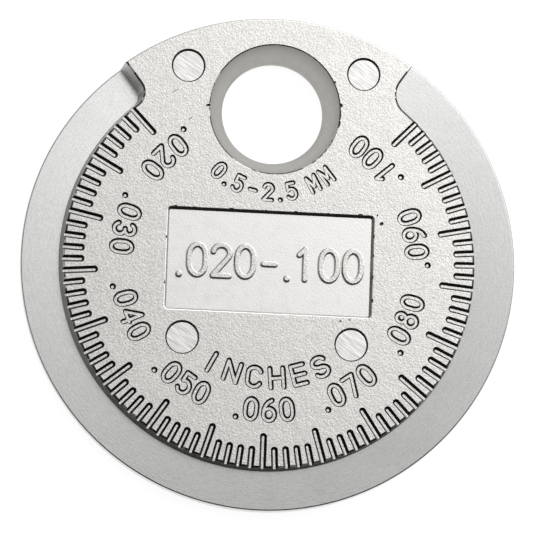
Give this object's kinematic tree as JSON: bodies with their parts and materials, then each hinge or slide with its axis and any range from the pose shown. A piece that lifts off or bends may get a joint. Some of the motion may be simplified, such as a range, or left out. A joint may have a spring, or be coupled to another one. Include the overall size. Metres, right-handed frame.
{
  "type": "spark plug gap gauge",
  "caption": "Round coin-like gauge: a raised, graduated dial inside a rim that thickens steadily round the disc, with a tapered hole beside the edge.",
  "frame": {"origin": "centre of the disc on its flat back face", "axes": "+Z out of the dial face, +Y from the centre towards the tapered hole, +X to the right when the dial is read with the hole at the top"},
  "size_m": [0.0381, 0.038, 0.0027],
  "materials": {
    "plated_zinc": "satin bright plating over a fine cast grain"
  },
  "bodies": {
    "root": {"gauge_disc": "plated_zinc"}
  },
  "joints": []
}
